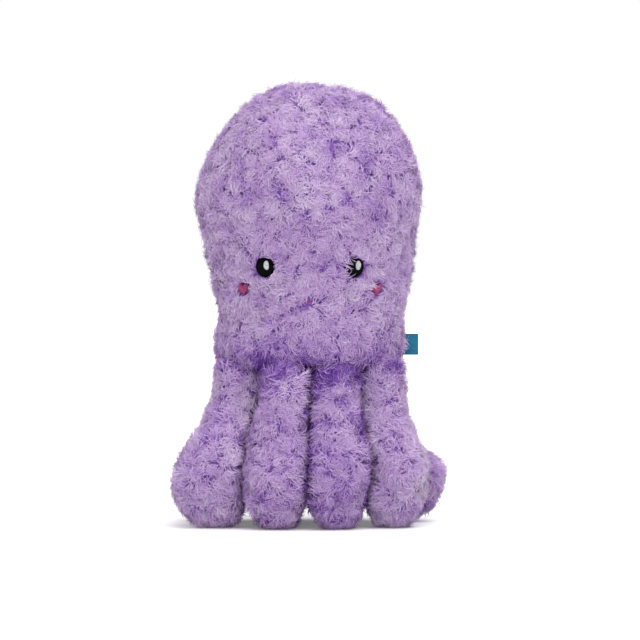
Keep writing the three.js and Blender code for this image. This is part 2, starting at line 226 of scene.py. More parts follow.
PATCH_TURN = 1.5  # how far they turn, where 1 is along the patch's edge and 2 is mirrored
PATCH_TRIM = 0.92  # how far out a strand counts as over a patch, where 1 is its edge

# Shares of the strands over each patch that are trimmed away
BARE_SHARES = {
    "eye_left": 0.95,
    "eye_right": 0.88,
    "cheek_left": 0.75,
    "cheek_right": 0.82,
    "mouth": 0.2,
}

# Side from which the pile leans over a patch, where 1 is its right, and how far out that starts
OVERGROWN_SIDES = {"eye_right": -1, "cheek_right": -1}
OVERGROWN_FROM = 0.5
OVERGROWN_LEAN = 2  # how strongly

# Right half of a heart as two Bezier curves, from its point up to its notch, in shares of its
# half width and half height: [control, control, end] of each curve.
HEART_POINT = (0, -1)
HEART_CURVE_SHARES = [
    [(0.35, -0.6), (1, -0.2), (1, 0.38)],
    [(1, 1.12), (0.2, 1.22), (0, 0.5)],
]

# Side tag, a folded ribbon
TAG_RIBBON = 0.0006
TAG_FOLD = 0.0005
TAG_REACH = 0.0145  # out of the head
TAG_SEWN = 0.006  # inside the seam
TAG_BOW = 0.0007  # how far the ribbon waves from flat
TAG_WAVE = (0.3, 1.6)  # where that wave starts and ends, in half waves
TAG_COLUMNS = 20  # along each layer
TAG_FOLD_COLUMNS = 7
TAG_BELLY = 0.5  # how much further apart the layers are at the middle, as a share
TAG_ROWS = 24

# Camera. The photograph shows the toy from straight ahead and a little above.
IMAGE_WIDTH = 640
METRES_PER_PIXEL = 0.0009
AXIS_PIXEL = 310  # the column of the toy's middle
FLOOR_PIXEL = 524.5  # the row of the floor under the feet
CAMERA_DISTANCE = 3
CAMERA_ELEVATION = math.radians(1)
SENSOR_WIDTH = 36  # in millimetres

# Light, from large soft lamps far away: [turn from the front to the right, height, spread] in
# degrees and strength.
LAMPS = {
    "key": (18, 60, 45, 1.55),
    "fill": (0, 14, 60, 0.75),
    "back": (165, 48, 40, 0.55),
}
WORLD_LIGHT = 0.86
FLOOR_SIZE = 40
FLOOR_SHADE = 0.9
FLOOR_GLOW = 0.14  # seen by the camera alone, so that the floor is white

STRAND_MAP = "OFBake"
CURVE_STEPS = 60  # between two marks
SMALLEST = 1e-12  # stands in for a length of zero
SAME_PLACE = 1e-6  # distance under which two points are one

chance = np.random.default_rng(8)


# Small helpers


def linear(red, green, blue):
    """A colour for a shader, from sRGB values up to 255, by the sRGB curve."""
    shares = [value / 255 for value in (red, green, blue)]
    return [s / 12.92 if s <= 0.04045 else ((s + 0.055) / 1.055) ** 2.4 for s in shares] + [1]


def unit(vectors):
    return vectors / np.maximum(np.linalg.norm(vectors, axis=-1, keepdims=True), SMALLEST)


def smooth(share):
    return share * share * (3 - 2 * share)


def span(nodes):
    """Lowest and highest corner of some CAD nodes together."""
    boxes = [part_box(node) for node in nodes]
    return np.min([low for low, _ in boxes], axis=0), np.max([high for _, high in boxes], axis=0)


def placed(name, data):
    """A new object in the scene."""
    made = bpy.data.objects.new(name, data)
    bpy.context.scene.collection.objects.link(made)
    return made


def add_object(name, mesh, material):
    mesh.materials.append(material)
    return placed(name, mesh)


def mesh_of(name, points, faces):
    """A smooth mesh in which points at one place are one vertex."""
    mesh = bpy.data.meshes.new(name)
    mesh.from_pydata(np.asarray(points).reshape(-1, 3).tolist(), [], faces)
    work = bmesh.new()
    work.from_mesh(mesh)
    bmesh.ops.remove_doubles(work, verts=work.verts, dist=SAME_PLACE)
    bmesh.ops.recalc_face_normals(work, faces=work.faces)
    work.to_mesh(mesh)
    work.free()
    mesh.shade_smooth()
    return mesh


# Materials


class Nodes:
    """The nodes of a material or world, which short calls add to."""

    def __init__(self, owner):
        owner.use_nodes = True
        self.tree = owner.node_tree

    def node(self, kind, inputs=None, **settings):
        made = self.tree.nodes.new(kind)
        for name, value in settings.items():
            setattr(made, name, value)
        for name, value in (inputs or {}).items():
            self.feed(value, made.inputs[name])
        return made

    def feed(self, value, socket):
        if isinstance(value, bpy.types.NodeSocket):
            self.tree.links.new(value, socket)
        else:
            socket.default_value = value


class Surface(Nodes):
    """A material for a surface."""

    def __init__(self, name, **settings):
        self.material = bpy.data.materials.new(name)
        super().__init__(self.material)
        self.shader = self.tree.nodes["Principled BSDF"]
        for socket, value in settings.items():
            self.shader.inputs[socket.replace("_", " ")].default_value = value

    def places(self):
        return self.node("ShaderNodeTexCoord").outputs["Object"]

    def noise(self, places, scale, detail, distortion=0):
        inputs = {"Vector": places, "Scale": scale, "Detail": detail, "Distortion": distortion}
        return self.node("ShaderNodeTexNoise", inputs).outputs["Fac"]

    def ramp(self, share, stops):
        made = self.node("ShaderNodeValToRGB", {"Fac": share})
        for place, colour in stops[1:-1]:
            made.color_ramp.elements.new(place)
        for element, (place, colour) in zip(made.color_ramp.elements, stops, strict=True):
            element.position = place
            element.color = colour
        return made.outputs["Color"]

    def between(self, share, colours, start=0.3, end=0.7):
        """From the first to the second colour, as the share goes from start to end."""
        deep, pale = colours
        return self.ramp(share, [(start, linear(*deep)), (end, linear(*pale))])

    def mix(self, share, a, b, way="MIX"):
        made = self.node("ShaderNodeMix", data_type="RGBA", blend_type=way)
        self.feed(share, made.inputs["Factor"])
        self.feed(a, made.inputs[6])
        self.feed(b, made.inputs[7])
        return made.outputs[2]

    def bump(self, height, strength, distance):
        inputs = {"Strength": strength, "Distance": distance, "Height": height}
        self.feed(self.node("ShaderNodeBump", inputs).outputs["Normal"], self.shader.inputs["Normal"])

    def painted(self, colour):
        """The material in this colour."""
        self.feed(colour, self.shader.inputs["Base Color"])
        return self.material


def pile_material():
    """Strands that are dark at the root, by painted shade deep in the pile, and pale at the tip, each
    with a tone of its own.
    """
    s = Surface("pile", Roughness=0.7, Specular_IOR_Level=0.15)
    places = s.node("ShaderNodeUVMap", uv_map=STRAND_MAP).outputs["UV"]
    parts = s.node("ShaderNodeSeparateXYZ", {"Vector": places})
    tone = s.ramp(parts.outputs["X"], [(place, linear(*colour)) for place, colour in TONES])
    stretched = s.node("ShaderNodeVectorMath", {0: places, 1: (90, 7, 1)}, operation="MULTIPLY")
    streaks = s.noise(stretched.outputs[0], scale=1, detail=1)
    dull, bright = (0.9, 0.88, 0.92, 1), (1.04, 1.04, 1.03, 1)
    streaked = s.mix(1, tone, s.ramp(streaks, [(0.3, dull), (0.7, bright)]), "MULTIPLY")
    # Painted shade: each strand darkens towards its root, where the pile hides it from light
    hidden, half_hidden, open_to_light = (0, 0, 0, 1), (0.75, 0.75, 0.75, 1), (1, 1, 1, 1)
    depth = s.ramp(parts.outputs["Y"], [(0, hidden), (0.4, half_hidden), (0.75, open_to_light)])
    return s.painted(s.mix(depth, linear(*ROOT_PAINTED_SHADE), streaked))


def backing_material():
    """The knitted backing that the pile grows from."""
    s = Surface("knitted_backing", Roughness=0.9, Sheen_Weight=0.2)
    places = s.places()
    loops = s.node("ShaderNodeTexVoronoi", {"Vector": places, "Scale": 700})
    s.bump(loops.outputs["Distance"], strength=0.5, distance=0.0006)
    return s.painted(s.between(s.noise(places, scale=60, detail=3), BACKING_COLOURS))


def stuffing_material():
    """Tangled white fibre."""
    s = Surface("stuffing_fibre", Roughness=0.95)
    tangle = s.noise(s.places(), scale=160, detail=6, distortion=2)
    s.bump(tangle, strength=0.8, distance=0.002)
    return s.painted(s.between(tangle, STUFFING_COLOURS, start=0.35, end=0.65))


def thread_material(name, deep, pale, gloss):
    """Embroidery thread: glossy fibres with a slightly different shade from place to place."""
    s = Surface(name, Roughness=0.45, Specular_IOR_Level=gloss)
    places = s.places()
    s.bump(s.noise(places, scale=3200, detail=2), strength=0.5, distance=0.0002)
    return s.painted(s.between(s.noise(places, scale=420, detail=4), (deep, pale)))


def ribbon_material():
    """A woven ribbon with darker, denser selvedges."""
    s = Surface("tag_ribbon", Roughness=0.55, Specular_IOR_Level=0.3)
    places = s.places()
    whole = s.node("ShaderNodeTexCoord").outputs["Generated"]
    level = s.node("ShaderNodeSeparateXYZ", {"Vector": whole}).outputs["Z"]
    threads = []
    for direction, scale in (("Z", 620), ("X", 480)):
        inputs = {"Vector": places, "Scale": scale, "Distortion": 0.6}
        wave = s.node("ShaderNodeTexWave", inputs, bands_direction=direction)
        threads.append(wave.outputs["Fac"])
    weave = s.node("ShaderNodeMath", dict(enumerate(threads)), operation="MULTIPLY").outputs[0]
    s.bump(weave, strength=0.4, distance=0.0002)
    plain, shaded, dark = (1, 1, 1, 1), (0.72, 0.74, 0.76, 1), (0.55, 0.62, 0.66, 1)
    colour = s.between(s.noise(places, scale=260, detail=3), RIBBON_COLOURS)
    woven = s.mix(1, colour, s.ramp(weave, [(0, shaded), (0.6, plain)]), "MULTIPLY")
    stops = [(0, dark), (0.05, dark), (0.08, plain), (0.92, plain), (0.95, dark), (1, dark)]
    return s.painted(s.mix(1, woven, s.ramp(level, stops), "MULTIPLY"))


# Forms


def spaced(marks, count):
    """Points evenly along a smooth curve through the marks."""
    marks = np.array(marks, float)
    last = len(marks) - 1
    at = np.linspace(0, last, CURVE_STEPS * last, endpoint=False)
    whole = at.astype(int)
    t = (at - whole)[:, None]
    before, a, b, after = (marks[np.clip(whole + k, 0, last)] for k in (-1, 0, 1, 2))
    rise_a, rise_b = (b - before) / 2, (after - a) / 2
    curve = a + t * rise_a + t**2 * (3 * (b - a) - 2 * rise_a - rise_b)
    curve = np.vstack([curve + t**3 * (2 * (a - b) + rise_a + rise_b), marks[-1:]])
    length = np.insert(np.cumsum(np.linalg.norm(np.diff(curve, axis=0), axis=1)), 0, 0)
    steps = np.linspace(0, length[-1], count)
    return np.stack([np.interp(steps, length, side) for side in curve.T], axis=1)


def squared(angles, squareness):
    """Cosine and sine of a circle that is drawn out towards the corners of its square."""
    cosine, sine = np.cos(angles), np.sin(angles)
    reach = (np.abs(cosine) ** squareness + np.abs(sine) ** squareness) ** (-1 / squareness)
    return cosine * reach, sine * reach


def stacked(rings, angles, squareness=2):
    """Rows of points on level ellipses, each ring given as x, y, z, half width and half depth."""
    x, y, z, half_width, half_depth = np.array(rings, float).T[:, :, None]
    cosine, sine = squared(angles, squareness)
    places = np.broadcast_arrays(x + half_width * cosine, y + half_depth * sine, z)
    return np.stack(places, axis=2)


def outward_of(rows):
    """Outward direction at each point of a stacked form."""
    down = np.gradient(rows, axis=0)
    around = np.roll(rows, -1, axis=1) - np.roll(rows, 1, axis=1)
    found = unit(np.cross(down, around))
    found[0] = (0, 0, 1)
    found[-1] = (0, 0, -1)
    return found


head_low, head_high = span(HEAD_PANELS)
HEAD_HALF_WIDTH = float(head_high[0])
HEAD_HALF_DEPTH = -float(head_low[1])
BASE_HEIGHT = float(head_low[2])
CROWN_HEIGHT = float(head_high[2])


def head_angles():
    """Round the head from its right side seam by the back, so that the front comes last."""
    return np.linspace(0, 2 * math.pi, HEAD_COLUMNS, endpoint=False)


def head_rows(inset):
    """The head drawn in by inset on every side, from the crown down to the middle of its underside."""
    outline = spaced(HEAD_OUTLINE_SHARES, HEAD_ROWS)[::-1]
    half_width = outline[:, 0] * (HEAD_HALF_WIDTH - inset)
    half_depth = outline[:, 0] * (HEAD_HALF_DEPTH - inset)
    low, high = BASE_HEIGHT + SEWN_GAP, CROWN_HEIGHT - inset
    z = low + outline[:, 1] * (high - low)
    middle = np.zeros_like(z)
    rings = np.stack([middle, middle, z, half_width, half_depth], axis=1)
    return stacked(np.vstack([rings, [[0, 0, low, 0, 0]]]), head_angles())


class Tentacle:
    """Where a tentacle hangs and stands, read from the frame."""

    def __init__(self, joint):
        self.name = joint["child"]
        self.root = np.array(joint["pos_m"])
        self.panels = [f"{self.name}_outer_panel", f"{self.name}_inner_panel"]
        low, high = span(self.panels)
        self.radius = high[2] - self.root[2]
        wide = self.foot_corners()
        self.foot = np.append(wide.mean(axis=0), FOOT_RISE)
        self.half_size = np.ptp(wide, axis=0) / 2
        self.facing = math.atan2(self.foot[1], self.foot[0])
        outer = abs(self.root[0]) > 2 * self.radius
        side = math.copysign(1, self.root[0])
        self.free_side = side if outer else 0
        self.shift = np.array([-self.free_side * SIDE_PRESS / 2, 0])
        self.widening = np.array([SIDE_PRESS / 2 if outer else SIDE_PRESS, 0])
        self.bend_power = LATE_BEND if self.root[1] > 0 else 1

    def shade(self, normals):
        """How much the tone differs on the sides: deeper in the grooves beside the next tentacles, as
        painted shade, and paler on the free side of an outer one, as painted light."""
        low, high = GROOVE_FACING
        groove = smooth(np.clip((np.abs(normals[:, 0]) - low) / (high - low), 0, 1))
        free = self.free_side * normals[:, 0] > 0
        return LIMB_TONES.get(self.name, 0) + np.where(free, FREE_SIDE_PAINTED_LIGHT, -GROOVE_PAINTED_SHADE) * groove

    def foot_corners(self):
        """Lowest and highest x and y of the foot."""
        points = np.vstack(
            [[tuple(v.co) for v in frame["nodes"][panel].data.vertices] for panel in self.panels]
        )
        foot = points[points[:, 2] < FOOT_RISE + PILE_DEPTH]
        return np.array([foot.min(axis=0)[:2], foot.max(axis=0)[:2]])

    def rows(self, inset, lift):
        """The form drawn in by inset on every side, with its sole at a height of lift."""
        ball = self.radius - inset + self.widening
        foot = self.half_size - inset + self.widening
        root_middle, foot_middle = self.root[:2] + self.shift, self.foot[:2] + self.shift
        rings = []
        angles = np.linspace(0, math.pi / 2, BALL_ROWS, endpoint=False)
        for cosine, sine in zip(*squared(angles, ROOT_SQUARENESS)):
            top = self.root[2] + (self.radius - SEWN_GAP) * cosine
            rings.append([*root_middle, top, *(ball * sine)])
        for share in np.linspace(0, 1, SHAFT_ROWS, endpoint=False):
            bend = smooth(share) ** self.bend_power
            middle = root_middle + bend * (foot_middle - root_middle)
            z = self.root[2] + share * (self.foot - self.root)[2]
            rings.append([*middle, z, *(ball + bend**LATE_SWELL * (foot - ball))])
        drop = self.foot[2] - lift
        for cosine, sine in zip(*squared(np.linspace(0, math.pi / 2, FOOT_ROWS), FOOT_SQUARENESS)):
            middle = foot_middle * (1 - FOOT_TUCK * sine**2)
            rings.append([*middle, self.foot[2] - drop * sine, *(foot * cosine)])
        rings[-1][3:] = [0, 0]
        start = self.facing - math.pi / 2
        angles = start + np.linspace(0, 2 * math.pi, TENTACLE_COLUMNS, endpoint=False)
        return stacked(rings, angles, CROSS_SQUARENESS)


# Stuffed shapes


def lumps(points, size, seed):
    """Smooth rises and falls between about -1 and 1."""
    total = np.zeros(points.shape[:-1])
    waves = np.random.default_rng(seed)
    for _ in range(LUMP_WAVES):
        way = unit(waves.normal(size=3)) * 2 * math.pi / (size * waves.uniform(*LUMP_WAVE_SIZES))
        total += np.sin(points @ way + waves.uniform(0, 2 * math.pi))
    return total / math.sqrt(LUMP_WAVES)


def stuffed(rows, seams, uneven):
    """The form with the uneven swell of its stuffing, drawn in along the seams at some columns."""
    out = outward_of(rows)
    rise = uneven["rise"] * lumps(rows, uneven["size"], uneven["seed"])
    for seam in seams:
        away = np.linalg.norm(rows - rows[:, seam : seam + 1], axis=2)
        rise -= SEAM_PULL * np.exp(-((away / SEAM_REACH) ** 2))
    rise[0] = rise[0].mean()
    rise[-1] = rise[-1].mean()
    rows = rows + out * rise[:, :, None]
    rows[:, :, 2] = np.maximum(rows[:, :, 2], BACKING_LIFT)
    return rows


def cloth_object(name, rows, hold):
    """A closed cloth from rows of points that start and end in a single point. What is held stays
    where it is, and the rest is pressed out."""
    body = rows[1:-1]
    count, columns = body.shape[:2]
    points = np.vstack([rows[0, :1], body.reshape(-1, 3), rows[-1, :1]])
    around = np.append(np.arange(columns), 0)
    index = 1 + np.arange(count)[:, None] * columns + around
    faces = [(0, *index[0, j : j + 2].tolist()) for j in range(columns)]
    for above, below in zip(index[:-1].tolist(), index[1:].tolist(), strict=True):
        faces += [(above[j], below[j], below[j + 1], above[j + 1]) for j in range(columns)]
    faces += [(int(index[-1, j]), len(points) - 1, int(index[-1, j + 1])) for j in range(columns)]
    mesh = bpy.data.meshes.new(name)
    mesh.from_pydata(points.tolist(), [], faces)
    piece = placed(name, mesh)
    group = piece.vertex_groups.new(name="held")
    for i, weight in enumerate(np.concatenate([hold[0, :1], hold[1:-1].ravel(), hold[-1, :1]])):
        group.add([i], float(weight), "REPLACE")
    cloth = piece.modifiers.new("cloth", "CLOTH")
    for setting, value in CLOTH_SETTINGS.items():
        setattr(cloth.settings, setting, value)
    cloth.settings.vertex_group_mass = group.name
    cloth.settings.effector_weights.gravity = 0
    cloth.collision_settings.use_collision = False
    return piece


def evened(move):
    """Moves of a form's points, evened out between neighbours."""
    for _ in range(CREASE_PASSES):
        around = (np.roll(move, 1, axis=1) + np.roll(move, -1, axis=1)) / 2
        along = move.copy()
        along[1:-1] = (move[:-2] + move[2:]) / 2
        move = move / 2 + (around + along) / 4
    return move


def pressed_out(forms, holds):
    """The forms with their skins pressed out by the stuffing. No point moves far."""
    pieces = [cloth_object(name, rows, holds[name]) for name, rows in forms.items()]
    scene = bpy.context.scene
    for step in range(1, CLOTH_FRAMES + 1):
        scene.frame_set(step)
    depsgraph = bpy.context.evaluated_depsgraph_get()
    found = {}
    for piece, (name, rows) in zip(pieces, forms.items(), strict=True):
        settled = piece.evaluated_get(depsgraph).data
        points = np.empty(3 * len(settled.vertices), np.float32)
        settled.vertices.foreach_get("co", points)
        points = points.reshape(-1, 3).astype(float)
        body = points[1:-1].reshape(rows[1:-1].shape)
        moved = rows.copy()
        moved[0], moved[1:-1], moved[-1] = points[0], body, points[-1]
        move = evened(moved - rows) * (holds[name] < 1)[:, :, None]
        far = np.linalg.norm(move, axis=2, keepdims=True)
        found[name] = rows + move * np.minimum(1, MOST_SWELL / np.maximum(far, SMALLEST))
    for piece in pieces:
        bpy.data.objects.remove(piece)
    scene.frame_set(1)
    return found


def columns_between(rows, first, last):
    """The columns from first to last, round the form, with both."""
    return rows[:, np.arange(first, last + 1) % rows.shape[1]]


def grid_faces(rows, columns, start=0, flipped=False):
    """Faces between neighbours in a grid of points, numbered from a start."""
    faces = []
    for i in range(rows - 1):
        for j in range(columns - 1):
            a = start + i * columns + j
            face = (a, a + columns, a + columns + 1, a + 1)
            faces.append(face[::-1] if flipped else face)
    return faces


def sheet_mesh(name, outside, out, thickness):
    """A sheet with the given thickness under a patch of points."""
    rows, columns = outside.shape[:2]
    count = rows * columns
    inside = outside - out * thickness
    faces = grid_faces(rows, columns) + grid_faces(rows, columns, count, flipped=True)
    index = np.arange(count).reshape(rows, columns)
    rim = np.concatenate([index[0], index[1:, -1], index[-1, -2::-1], index[-2:0:-1, 0]])
    for a, b in zip(rim, np.roll(rim, -1), strict=True):
        faces.append((int(a), int(b), int(b) + count, int(a) + count))
    return mesh_of(name, np.concatenate([outside.reshape(-1, 3), inside.reshape(-1, 3)]), faces)


def closed_mesh(name, rows):
    """A closed form from rows of points that start and end in a single point."""
    around = columns_between(rows, 0, rows.shape[1])
    return mesh_of(name, around, grid_faces(*around.shape[:2]))


# Pile


def scattered(patch, out, per_area):
    """Roots spread over a patch by area, with the outward direction at each."""
    corners = [patch[:-1, :-1], patch[1:, :-1], patch[1:, 1:], patch[:-1, 1:]]
    ways = [out[:-1, :-1], out[1:, :-1], out[1:, 1:], out[:-1, 1:]]
    corners, ways = (np.stack(c, axis=2).reshape(-1, 4, 3) for c in (corners, ways))
    across, down = corners[:, 2] - corners[:, 0], corners[:, 3] - corners[:, 1]
    area = np.linalg.norm(np.cross(across, down), axis=1) / 2
    count = int(area.sum() * per_area)
    cell = chance.choice(len(area), count, p=area / area.sum())
    u, v = chance.random((2, count, 1))
    weights = [(1 - u) * (1 - v), u * (1 - v), u * v, (1 - u) * v]
    roots = sum(w * corners[cell, i] for i, w in enumerate(weights))
    normals = sum(w * ways[cell, i] for i, w in enumerate(weights))
    return roots, unit(normals)


def tufts_of(roots, spacing):
    """The number of the tuft that each root belongs to, and the middle of every tuft."""
    count = max(int(len(roots) / STRANDS_PER_M2 / spacing**2), 1)
    middles = roots[chance.choice(len(roots), count, replace=False)]
    tree = kdtree.KDTree(count)
    for i, middle in enumerate(middles):
        tree.insert(middle, i)
    tree.balance()
    nearest = np.array([tree.find(root)[1] for root in roots])
    return nearest, middles


def turned(vectors, axes, angles):
    """Vectors turned about unit axes that they are square to."""
    angles = angles[:, None]
    return vectors * np.cos(angles) + np.cross(axes, vectors) * np.sin(angles)


def along_surface(vectors, normals):
    """The part of the vectors that runs along the surface."""
    return vectors - normals * (vectors * normals).sum(axis=1, keepdims=True)


def strand_lines(roots, normals, style, patches=()):
    """Points along each strand, and its tone. It leaves the backing steeply, and bends over as its
    tuft does."""
    count = len(roots)
    tuft, middles = tufts_of(roots, TUFT_SPACING)
    turn, twist, bend, growth = chance.random((4, len(middles)))[:, tuft]
    chin = smooth(np.clip((BASE_HEIGHT + CHIN_REACH - roots[:, 2]) / CHIN_REACH, 0, 1))
    chin = chin * (roots[:, 2] > BASE_HEIGHT) * (style["hang"] > 0)
    lean = turned(unit(np.cross(normals, ANY_SIDE)), normals, 2 * math.pi * turn)
    lean = lean + style["fan"] * along_surface(roots - middles[tuft], normals) / TUFT_SPACING
    hang = style["hang"] + CHIN_HANG * chin
    lean = lean + hang[:, None] * along_surface(np.array([0, 0, -1.0]), normals)
    lean = unit(lean + style["stray"] * np.cross(normals, chance.normal(size=(count, 3))))
    curl = style["curl"] * (2 * twist - 1) + chance.normal(0, STRAND_CURL, count)
    guard = chance.random(count) < GUARD_SHARE
    for patch in patches:
        near = patch.near(roots)
        lean[near] = patch.combed(roots[near], lean[near])
        curl[near] *= PATCH_CURL
    first = ROOT_TILT + chance.normal(0, ROOT_TILT_RANGE, count)
    last = math.radians(style["tilt"]) + TUFT_TILT * (bend - 0.5)
    last = last + chance.normal(0, TIP_TILT_RANGE, count)
    shortest, longest = TUFT_LENGTHS
    length = style["length"] * (shortest + (longest - shortest) * growth)
    length = length * chance.normal(1, LENGTH_RANGE, count)
    length = length * (1 + CHIN_GROWTH * chin) * (1 + GUARD_GROWTH * guard)
    lines = bent(roots, normals, lean, curl, first, last, length)
    return lines, style["tone"] + tones_of(roots, twist, guard)


def bent(roots, normals, lean, curl, first, last, length):
    """Points along strands that tilt from their normals to where they lean, from a first to a last
    angle, and turn aside by their curl. None goes under the floor, and none of a tentacle over the
    seam that it hangs from."""
    marks = [roots]
    for share in (np.arange(STRAND_MARKS - 1) + 0.5) / (STRAND_MARKS - 1):
        tilt = first + (last - first) * share
        side = turned(lean, normals, curl * share)
        way = normals * np.cos(tilt)[:, None] + side * np.sin(tilt)[:, None]
        marks.append(marks[-1] + way * (length / (STRAND_MARKS - 1))[:, None])
    lines = np.stack(marks, axis=1)
    lines[:, :, 2] = np.maximum(lines[:, :, 2], FLOOR_GAP + STRAND_RADIUS)
    limb = roots[:, 2] < BASE_HEIGHT
    lines[limb, :, 2] = np.minimum(lines[limb, :, 2], BASE_HEIGHT)
    return lines


def tones_of(roots, tuft_shares, guard):
    """How much paler each strand is than its part, by its tuft, its place and its own chance, and how
    much deeper by painted shade about the level of the head's underside.
    """
    tone = TUFT_TONE * (tuft_shares - 0.5) + GUARD_TONE * guard
    tone += chance.normal(0, STRAND_TONE, len(roots))
    # Painted shade under the chin and at the tops of the tentacles, about the level of the head's
    # underside
    tone -= UNDERSIDE_PAINTED_SHADE * np.exp(-(((roots[:, 2] - BASE_HEIGHT) / UNDERSIDE_PAINTED_SHADE_REACH) ** 2))
    for size, depth in TONE_WAVES.items():
        tone += depth * lumps(roots, size, TONE_SEED)
    return tone


def strand_faces():
    """Triangles of one strand, by the numbers of its corners: its root, its sides and its tip."""
    faces = [(2, 1, 0)]
    tip = 3 * (STRAND_MARKS - 1)
    for ring in range(0, tip, 3):
        for i in range(3):
            a, b = ring + i, ring + (i + 1) % 3
            if ring + 3 == tip:
                faces.append((a, b, tip))
            else:
                faces += [(a, b, b + 3), (a, b + 3, a + 3)]
    return np.array(faces)


def strand_places():
    """Each corner's place in the map: across the strand from -1 to 1, and along it from 0 to 1."""
    across = [-1, 0, 1] * (STRAND_MARKS - 1) + [0]
    along = [mark / (STRAND_MARKS - 1) for mark in range(STRAND_MARKS - 1) for _ in range(3)] + [1]
    return np.array(across), np.array(along)


def strand_points(lines):
    """Corners of the strands: three round each point of a line, and one at its tip."""
    count = len(lines)
    along = unit(np.gradient(lines, axis=1))
    first = unit(np.cross(along[:, 0], chance.normal(size=(count, 3))))
    points = []
    for mark in range(STRAND_MARKS - 1):
        way = along[:, mark]
        first = unit(first - way * (first * way).sum(axis=1, keepdims=True))
        second = np.cross(way, first)
        for turn in 2 * math.pi / 3 * np.arange(3):
            ring = first * math.cos(turn) + second * math.sin(turn)
            points.append(lines[:, mark] + ring * STRAND_RADIUS * STRAND_WIDTHS[mark])
    points.append(lines[:, -1])
    return np.stack(points, axis=1)


def strand_object(name, lines, normals, tone, material):
    """A mesh of strands, lit more softly than round threads because each also takes on the outward
    direction of the surface it grows from."""
    faces = strand_faces()
    across, along = strand_places()
    points = strand_points(lines)
    points[:, :, 2] = np.maximum(points[:, :, 2], FLOOR_GAP)
    count, corners = points.shape[:2]
    tone = tone.clip(*TONE_LIMITS)
    index = (faces.ravel() + corners * np.arange(count)[:, None]).ravel()
    places = np.empty((count, corners, 2))
    places[:, :, 0] = tone[:, None] + across * HALF_STRAND_MAP
    places[:, :, 1] = along
    mesh = bpy.data.meshes.new(name)
    mesh.vertices.add(count * corners)
    mesh.vertices.foreach_set("co", points.astype(np.float32).ravel())
    mesh.loops.add(len(index))
    mesh.loops.foreach_set("vertex_index", index.astype(np.int32))
    mesh.polygons.add(len(index) // 3)
    mesh.polygons.foreach_set("loop_start", np.arange(0, len(index), 3, dtype=np.int32))
    mesh.update(calc_edges=True)
    layer = mesh.uv_layers.new(name=STRAND_MAP)
    layer.data.foreach_set("uv", places.reshape(-1, 2)[index].astype(np.float32).ravel())
    mesh.shade_smooth()
    middles = np.repeat(lines, [3] * (STRAND_MARKS - 1) + [1], axis=1)
    rounded = unit(points - middles)
    lit = unit(rounded * (1 - SOFT_SHARE) + normals[:, None] * SOFT_SHARE)
    mesh.normals_split_custom_set_from_vertices(lit.reshape(-1, 3).astype(np.float32))
    return add_object(name, mesh, material)


def add_pile(name, roots, normals, style, body, material, patches=(), shade=None):
    """The pile that grows from some roots, in pieces of at most MOST_STRANDS strands."""
    for patch in patches:
        bare = patch.share(roots) < 1
        roots, normals = roots[~bare], normals[~bare]
    lines, tone = strand_lines(roots, normals, style, patches)
    # Painted shade in the grooves and painted light on the free sides, where a tentacle gives them
    if shade:
        tone = tone + shade(normals)
    for patch in patches:
        shown = ~patch.covered(lines)
        roots, normals, lines, tone = roots[shown], normals[shown], lines[shown], tone[shown]
    order = np.argsort(-roots[:, 2])
    for i, part in enumerate(np.array_split(order, math.ceil(len(roots) / MOST_STRANDS))):
        piece = strand_object(f"{name}_pile_{i + 1}", lines[part], normals[part], tone[part], material)
        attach(piece, body)


def add_panel(name, rows, out, columns, style, body, materials, patches=(), shade=None):
    """A panel of plush between two columns of a stuffed form: its backing and its pile."""
    patch, ways = (columns_between(x, *columns) for x in (rows, out))
    mesh = sheet_mesh(name, patch, ways, BACKING_THICKNESS)
    backing = add_object(f"{name}_backing", mesh, materials["backing"])
    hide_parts(name)
    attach(backing, body)
    roots, normals = scattered(patch, ways, STRANDS_PER_M2)
    add_pile(name, roots, normals, style, body, materials["pile"], patches, shade)


def add_base_panel(tentacles, materials):
    """The plush under the head, whose pile is cut away where a tentacle is sewn on."""
    half_width = RIM_SHARE * (HEAD_HALF_WIDTH - PILE_DEPTH)
    half_depth = RIM_SHARE * (HEAD_HALF_DEPTH - PILE_DEPTH)
    low = BASE_HEIGHT + SEWN_GAP
    sizes = np.linspace(0, 1, BASE_RINGS)[:, None] * (half_width, half_depth)
    under = [[0, 0, low, *size] for size in sizes]
    over = [[0, 0, low + BACKING_THICKNESS, *size] for size in sizes]
    rows = stacked(over + under[::-1], head_angles())
    piece = add_object("base_panel_backing", closed_mesh("base_panel", rows), materials["backing"])
    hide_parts("base_panel")
    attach(piece, "head")
    patch = stacked(under, np.append(head_angles(), 2 * math.pi))
    roots, normals = scattered(patch, np.broadcast_to((0.0, 0.0, -1.0), patch.shape), STRANDS_PER_M2)
    for tentacle in tentacles:
        away = np.linalg.norm(roots[:, :2] - tentacle.root[:2], axis=1)
        free = away > tentacle.radius - ROOT_CLEARANCE
        roots, normals = roots[free], normals[free]
    add_pile("base_panel", roots, normals, BASE_PILE, "head", materials["pile"])


def held(rows, seams, low, high):
    """How firmly each point of a skin is held: fully below and above some levels, and a little
    along the seams."""
    hold = np.zeros(rows.shape[:2])
    hold[:, seams] = SEAM_HOLD
    hold[(rows[:, :, 2] < low) | (rows[:, :, 2] > high)] = 1
    return hold


